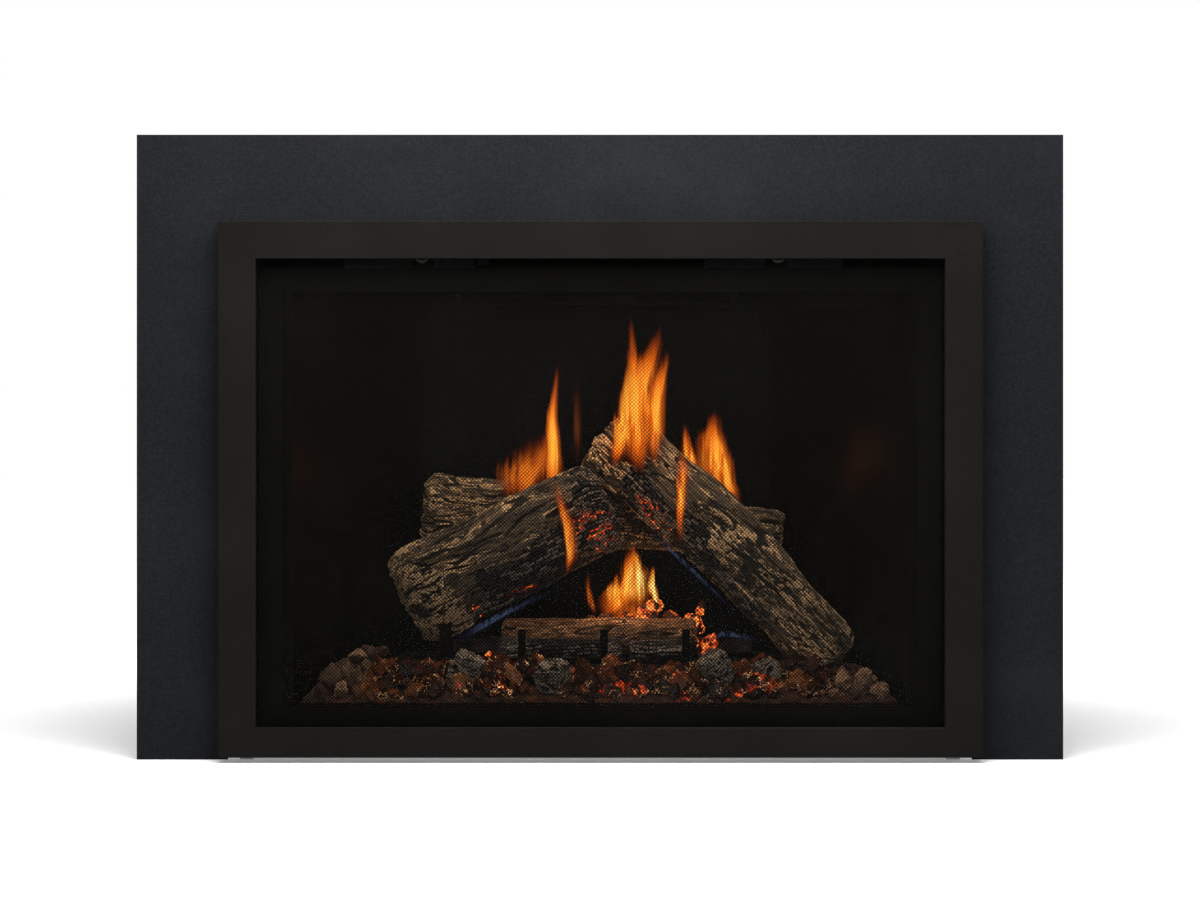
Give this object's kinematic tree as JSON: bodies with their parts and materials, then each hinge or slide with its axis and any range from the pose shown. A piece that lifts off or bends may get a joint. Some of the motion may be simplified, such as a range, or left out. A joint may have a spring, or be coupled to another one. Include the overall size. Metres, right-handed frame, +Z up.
{
  "type": "gas fireplace insert",
  "caption": "Gas fireplace insert: flat surround, lift-off front with mesh screen, sealed glass front, sloped ember bed, log set on a grate, tube burner, blower and two vent collars.",
  "frame": {"origin": "middle of the bounding box, on the hearth under it", "axes": "+X to the viewer's right, -Y out of the front towards the room, +Z up"},
  "size_m": [1.044, 0.44, 0.704],
  "materials": {
    "surround_powder_coat": "matte powder coat",
    "front_bronze": "fine satin bronze-black",
    "screen_wire": "matte black wire",
    "glass_trim_black": "matte heat paint",
    "ceramic_glass": "clear, faint amber",
    "rope_gasket": "woven glass fibre",
    "liner_gloss_black": "gloss black enamel",
    "firebox_black": "matte heat paint",
    "galvanised_sheet": "spangled zinc",
    "collar_steel": "satin",
    "zinc_fasteners": "bright zinc",
    "burner_steel": "heat-tinted",
    "log_bark": "grey-brown bark over charred ends",
    "char_bark": "charred bark",
    "ember_fibre": "rough embers",
    "amber_glass": "crushed, amber and copper",
    "river_rock": "rough tan",
    "valve_alloy": "cast",
    "brass_pipe": "drawn",
    "knob_plastic": "matte black",
    "box_paint": "matte black",
    "motor_paint": "satin",
    "rotor_alloy": "satin"
  },
  "bodies": {
    "insert": {"baffle": "firebox_black", "blower_housing": "galvanised_sheet", "blower_motor": "motor_paint", "burner": "burner_steel", "case_back": "galvanised_sheet", "case_base": "galvanised_sheet", "case_left_side": "galvanised_sheet", "case_right_side": "galvanised_sheet", "case_screws": "zinc_fasteners", "case_top": "galvanised_sheet", "char_chunks": "char_bark", "control_box": "box_paint", "ember_bed": "ember_fibre", "ember_tray": "firebox_black", "exhaust_collar": "collar_steel", "firebox_flange": "firebox_black", "firebox_floor": "firebox_black", "firebox_top": "firebox_black", "firebox_wrap": "firebox_black", "front_rails": "galvanised_sheet", "gas_line": "brass_pipe", "gas_valve": "valve_alloy", "glass_chips": "amber_glass", "grate": "firebox_black", "intake_collar": "collar_steel", "latch_springs": "zinc_fasteners", "liner_back": "liner_gloss_black", "liner_left": "liner_gloss_black", "liner_right": "liner_gloss_black", "log_front_left": "log_bark", "log_front_right": "log_bark", "log_middle_left": "log_bark", "log_middle_right": "log_bark", "log_middle_upper": "log_bark", "log_rear": "log_bark", "pilot_burner": "burner_steel", "rocks": "river_rock", "surround_left": "surround_powder_coat", "surround_nuts": "zinc_fasteners", "surround_right": "surround_powder_coat", "surround_top": "surround_powder_coat", "vent_adapter": "firebox_black"},
    "front": {"front_frame": "front_bronze", "mesh_screen": "screen_wire"},
    "glass_door": {"glass_frame": "glass_trim_black", "glass_pane": "ceramic_glass", "glass_gasket": "rope_gasket"},
    "latch_left": {"latch_left": "zinc_fasteners"},
    "latch_right": {"latch_right": "zinc_fasteners"},
    "air_shutter": {"air_shutter": "burner_steel"},
    "restrictor": {"restrictor": "firebox_black"},
    "blower_rotor": {"blower_rotor": "rotor_alloy"},
    "rocker_switch": {"rocker_switch": "knob_plastic"},
    "speed_knob": {"speed_knob": "knob_plastic"},
    "gas_knob": {"gas_knob": "knob_plastic"},
    "flame_knob": {"flame_knob": "knob_plastic"},
    "levelling_bolt_front_left": {"levelling_bolt_front_left": "zinc_fasteners"},
    "levelling_bolt_front_right": {"levelling_bolt_front_right": "zinc_fasteners"},
    "levelling_bolt_rear_left": {"levelling_bolt_rear_left": "zinc_fasteners"},
    "levelling_bolt_rear_right": {"levelling_bolt_rear_right": "zinc_fasteners"}
  },
  "joints": [
    {"name": "front_lift", "type": "slide", "parent": "insert", "child": "front", "axis": [0, 0, 1], "range_m": [0, 0.015]},
    {"name": "glass_relief", "type": "slide", "parent": "insert", "child": "glass_door", "axis": [0, -1, 0], "range_m": [0, 0.006], "stiffness_N_per_m": 2000, "springref_m": -0.012, "deforming": ["latch_springs"]},
    {"name": "latch_left_turn", "type": "hinge", "parent": "insert", "child": "latch_left", "pos_m": [-0.2, -0.2002, 0.566], "axis": [0, -1, 0], "range_deg": [0, 90]},
    {"name": "latch_right_turn", "type": "hinge", "parent": "insert", "child": "latch_right", "pos_m": [0.2, -0.2002, 0.566], "axis": [0, 1, 0], "range_deg": [0, 90]},
    {"name": "air_shutter_slide", "type": "slide", "parent": "insert", "child": "air_shutter", "axis": [0, -1, 0], "range_m": [0, 0.012]},
    {"name": "restrictor_turn", "type": "hinge", "parent": "insert", "child": "restrictor", "pos_m": [-0.065, 0.07, 0.5665], "axis": [1, 0, 0], "range_deg": [0, 80]},
    {"name": "blower_spin", "type": "hinge", "parent": "insert", "child": "blower_rotor", "pos_m": [0, 0.172, 0.056], "axis": [1, 0, 0], "continuous": true},
    {"name": "rocker_tilt", "type": "hinge", "parent": "insert", "child": "rocker_switch", "pos_m": [0.24, -0.166, 0.0185], "axis": [0, 0, 1], "range_deg": [-8, 8]},
    {"name": "speed_knob_turn", "type": "hinge", "parent": "insert", "child": "speed_knob", "pos_m": [0.3, -0.174, 0.0185], "axis": [0, -1, 0], "range_deg": [0, 270]},
    {"name": "gas_knob_turn", "type": "hinge", "parent": "insert", "child": "gas_knob", "pos_m": [-0.045, -0.128, 0.036], "axis": [0, -1, 0], "range_deg": [0, 180]},
    {"name": "flame_knob_turn", "type": "hinge", "parent": "insert", "child": "flame_knob", "pos_m": [0.005, -0.128, 0.036], "axis": [0, -1, 0], "range_deg": [0, 120]},
    {"name": "levelling_front_left", "type": "slide", "parent": "insert", "child": "levelling_bolt_front_left", "axis": [0, 0, -1], "range_m": [0, 0.015]},
    {"name": "levelling_front_right", "type": "slide", "parent": "insert", "child": "levelling_bolt_front_right", "axis": [0, 0, -1], "range_m": [0, 0.015]},
    {"name": "levelling_rear_left", "type": "slide", "parent": "insert", "child": "levelling_bolt_rear_left", "axis": [0, 0, -1], "range_m": [0, 0.015]},
    {"name": "levelling_rear_right", "type": "slide", "parent": "insert", "child": "levelling_bolt_rear_right", "axis": [0, 0, -1], "range_m": [0, 0.015]}
  ]
}
